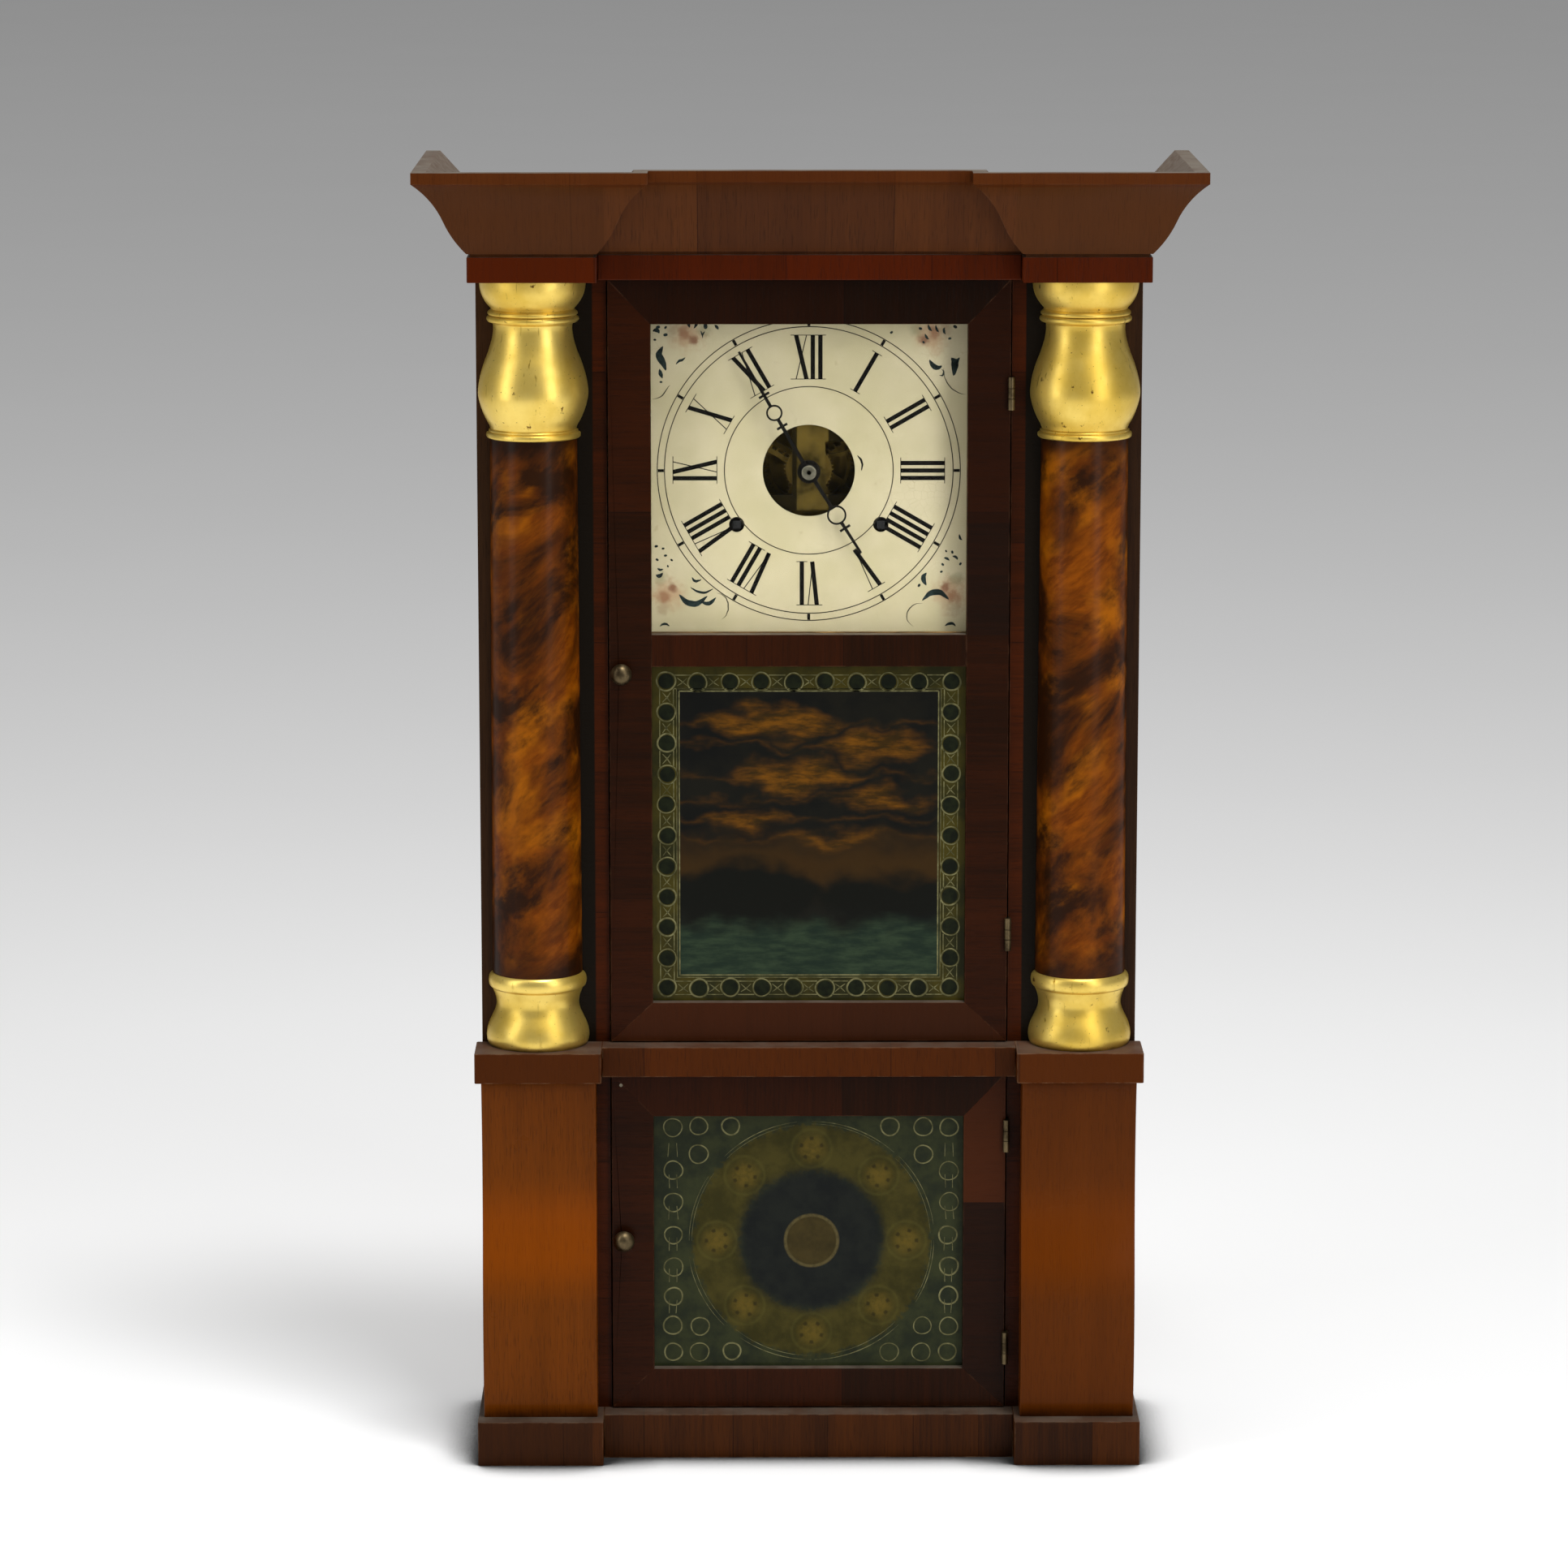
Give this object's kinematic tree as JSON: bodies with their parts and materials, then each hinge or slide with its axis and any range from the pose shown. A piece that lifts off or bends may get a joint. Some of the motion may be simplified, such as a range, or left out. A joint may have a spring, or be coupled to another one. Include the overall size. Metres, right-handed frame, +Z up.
{
  "type": "column shelf clock",
  "caption": "Tall weight-driven shelf clock in tiers with a flared breakfront cornice, gilt split columns, ogee pedestals, glazed doors, brass movement, pendulum and gong.",
  "frame": {"origin": "middle of the footprint's box, on the shelf", "axes": "+Z up, +Y from the doors to the backboard, +X to the right as seen from the front"},
  "size_m": [0.4934, 0.1844, 0.838],
  "materials": {
    "mahogany_veneer": "dark red-brown mahogany veneer under aged varnish",
    "cornice_veneer": "figured brown mahogany veneer under aged varnish",
    "pedestal_veneer": "orange-brown crotch mahogany veneer under aged varnish",
    "pine": "bare pine, darkened by age",
    "gilt": "worn gold leaf on turned wood",
    "stencilled_shaft": "tortoiseshell graining on turned wood",
    "clear_glass": "old clear window glass",
    "painted_glass": "glass painted on its back",
    "dial_paint": "cream paint on sheet zinc",
    "aged_brass": "dull yellow brass",
    "steel": "dark steel",
    "blued_steel": "dark blued steel",
    "iron": "rough cast iron"
  },
  "bodies": {
    "case": {"backboard": "pine", "case_sides": "mahogany_veneer", "front_stiles": "mahogany_veneer", "bottom_board": "pine", "top_board": "pine", "plinth": "mahogany_veneer", "waist": "mahogany_veneer", "frieze": "mahogany_veneer", "pedestals": "pedestal_veneer", "column_feet": "gilt", "column_shafts": "stencilled_shaft", "column_capitals": "gilt", "cornice_centre": "cornice_veneer", "cornice_ends": "cornice_veneer", "cornice_sides": "cornice_veneer", "upper_case_hinge_leaves": "aged_brass", "lower_case_hinge_leaves": "aged_brass", "dial": "dial_paint", "inner_walls": "pine", "front_plate": "aged_brass", "back_plate": "aged_brass", "gong": "steel", "gong_stand": "iron", "pulley_yokes": "steel"},
    "upper_door": {"dial_glass": "clear_glass", "upper_tablet": "painted_glass", "upper_glazing_beads": "pine", "upper_door_stiles": "mahogany_veneer", "upper_door_rails": "mahogany_veneer", "upper_door_hinge_leaves": "aged_brass"},
    "upper_turn_catch": {"upper_knob": "aged_brass"},
    "lower_door": {"lower_tablet": "painted_glass", "lower_glazing_beads": "pine", "lower_door_stiles": "mahogany_veneer", "lower_door_rails": "mahogany_veneer", "lower_door_hinge_leaves": "aged_brass"},
    "lower_turn_catch": {"lower_knob": "aged_brass"},
    "minute_hand_arbor": {"minute_hand": "blued_steel", "cannon_pinion": "aged_brass"},
    "hour_hand_pipe": {"hour_hand": "blued_steel", "hour_wheel": "aged_brass"},
    "motion_wheel": {"minute_wheel": "aged_brass"},
    "going_third_wheel": {"third_wheel": "aged_brass"},
    "going_centre_wheel": {"centre_wheel": "aged_brass"},
    "going_great_wheel": {"time_great_wheel": "aged_brass"},
    "going_escape_wheel": {"escape_wheel": "aged_brass"},
    "strike_second_wheel": {"strike_pin_wheel": "aged_brass"},
    "strike_first_wheel": {"strike_great_wheel": "aged_brass"},
    "strike_fan": {"strike_fly": "aged_brass"},
    "right_weight": {"weight_right": "iron"},
    "left_weight": {"weight_left": "iron"},
    "right_drum": {"time_drum": "steel"},
    "left_drum": {"strike_drum": "steel"},
    "right_pulley": {"pulley_right": "aged_brass"},
    "left_pulley": {"pulley_left": "aged_brass"},
    "pendulum": {"pendulum_rod": "steel", "pendulum_bob": "aged_brass"},
    "pallet_arbor": {"verge": "steel"},
    "hammer": {"strike_hammer": "steel"}
  },
  "joints": [
    {"name": "upper_door_swing", "type": "hinge", "parent": "case", "child": "upper_door", "pos_m": [0.12775, -0.02935, 0.52025], "axis": [0, 0, 1], "range_deg": [0, 95]},
    {"name": "lower_door_swing", "type": "hinge", "parent": "case", "child": "lower_door", "pos_m": [0.12775, -0.02935, 0.1415], "axis": [0, 0, 1], "range_deg": [0, 95]},
    {"name": "upper_catch_turn", "type": "hinge", "parent": "upper_door", "child": "upper_turn_catch", "pos_m": [-0.1196, -0.02675, 0.515], "axis": [0, -1, 0], "range_deg": [0, 90]},
    {"name": "lower_catch_turn", "type": "hinge", "parent": "lower_door", "child": "lower_turn_catch", "pos_m": [-0.1196, -0.02675, 0.143], "axis": [0, -1, 0], "range_deg": [0, 90]},
    {"name": "minute_turn", "type": "hinge", "parent": "case", "child": "minute_hand_arbor", "pos_m": [0, -0.012, 0.6417], "axis": [0, 1, 0], "continuous": true},
    {"name": "hour_turn", "type": "hinge", "parent": "case", "child": "hour_hand_pipe", "pos_m": [0, -0.008, 0.6417], "axis": [0, 1, 0], "continuous": true},
    {"name": "motion_wheel_turn", "type": "hinge", "parent": "case", "child": "motion_wheel", "pos_m": [0, 0.007, 0.6225], "axis": [0, 1, 0], "continuous": true},
    {"name": "third_wheel_turn", "type": "hinge", "parent": "case", "child": "going_third_wheel", "pos_m": [0.0154, 0.03, 0.66837], "axis": [0, 1, 0], "continuous": true},
    {"name": "centre_wheel_turn", "type": "hinge", "parent": "case", "child": "going_centre_wheel", "pos_m": [0, 0.038, 0.6417], "axis": [0, 1, 0], "continuous": true},
    {"name": "time_great_wheel_turn", "type": "hinge", "parent": "case", "child": "going_great_wheel", "pos_m": [0.046, 0.045, 0.607], "axis": [0, 1, 0], "continuous": true},
    {"name": "escape_wheel_turn", "type": "hinge", "parent": "case", "child": "going_escape_wheel", "pos_m": [0, 0.018, 0.68736], "axis": [0, 1, 0], "continuous": true},
    {"name": "pin_wheel_turn", "type": "hinge", "parent": "case", "child": "strike_second_wheel", "pos_m": [-0.05102, 0.03, 0.6644], "axis": [0, 1, 0], "continuous": true},
    {"name": "strike_great_wheel_turn", "type": "hinge", "parent": "case", "child": "strike_first_wheel", "pos_m": [-0.046, 0.017, 0.607], "axis": [0, 1, 0], "continuous": true},
    {"name": "fly_turn", "type": "hinge", "parent": "case", "child": "strike_fan", "pos_m": [-0.04199, 0.03, 0.68921], "axis": [0, 1, 0], "continuous": true},
    {"name": "right_weight_lift", "type": "slide", "parent": "case", "child": "right_weight", "axis": [0, 0, 1], "range_m": [0, 0.36]},
    {"name": "left_weight_lift", "type": "slide", "parent": "case", "child": "left_weight", "axis": [0, 0, 1], "range_m": [0, 0.36]},
    {"name": "time_drum_turn", "type": "hinge", "parent": "case", "child": "right_drum", "pos_m": [0.046, 0.03, 0.607], "axis": [0, 1, 0], "range_deg": [0, 1150]},
    {"name": "strike_drum_turn", "type": "hinge", "parent": "case", "child": "left_drum", "pos_m": [-0.046, 0.03, 0.607], "axis": [0, 1, 0], "range_deg": [0, 1150]},
    {"name": "right_pulley_turn", "type": "hinge", "parent": "case", "child": "right_pulley", "pos_m": [0.15785, 0.03625, 0.745], "axis": [0, 1, 0], "range_deg": [-1475, 0]},
    {"name": "left_pulley_turn", "type": "hinge", "parent": "case", "child": "left_pulley", "pos_m": [-0.15785, 0.03625, 0.745], "axis": [0, 1, 0], "range_deg": [0, 1475]},
    {"name": "pendulum_swing", "type": "hinge", "parent": "case", "child": "pendulum", "pos_m": [0, 0.06525, 0.71276], "axis": [0, 1, 0], "range_deg": [-3.5, 3.5]},
    {"name": "verge_rock", "type": "hinge", "parent": "case", "child": "pallet_arbor", "pos_m": [0, 0.03, 0.71276], "axis": [0, 1, 0], "range_deg": [-3.5, 3.5]},
    {"name": "hammer_lift", "type": "hinge", "parent": "case", "child": "hammer", "pos_m": [-0.024, 0.07425, 0.5917], "axis": [0, 1, 0], "range_deg": [0, 14]}
  ],
  "couplings": [
    {"joint": "hour_turn", "follows": "minute_turn", "ratio": 0.083333},
    {"joint": "motion_wheel_turn", "follows": "minute_turn", "ratio": -0.33333},
    {"joint": "centre_wheel_turn", "follows": "third_wheel_turn", "ratio": -0.1},
    {"joint": "time_great_wheel_turn", "follows": "third_wheel_turn", "ratio": 0.0083333},
    {"joint": "escape_wheel_turn", "follows": "third_wheel_turn", "ratio": -9},
    {"joint": "strike_great_wheel_turn", "follows": "pin_wheel_turn", "ratio": -0.083333},
    {"joint": "fly_turn", "follows": "pin_wheel_turn", "ratio": -10},
    {"joint": "time_drum_turn", "follows": "right_weight_lift", "rad_per_m": 55.556},
    {"joint": "strike_drum_turn", "follows": "left_weight_lift", "rad_per_m": 55.556},
    {"joint": "right_pulley_turn", "follows": "right_weight_lift", "rad_per_m": -71.429},
    {"joint": "left_pulley_turn", "follows": "left_weight_lift", "rad_per_m": 71.429},
    {"joint": "verge_rock", "follows": "pendulum_swing", "ratio": 1}
  ]
}
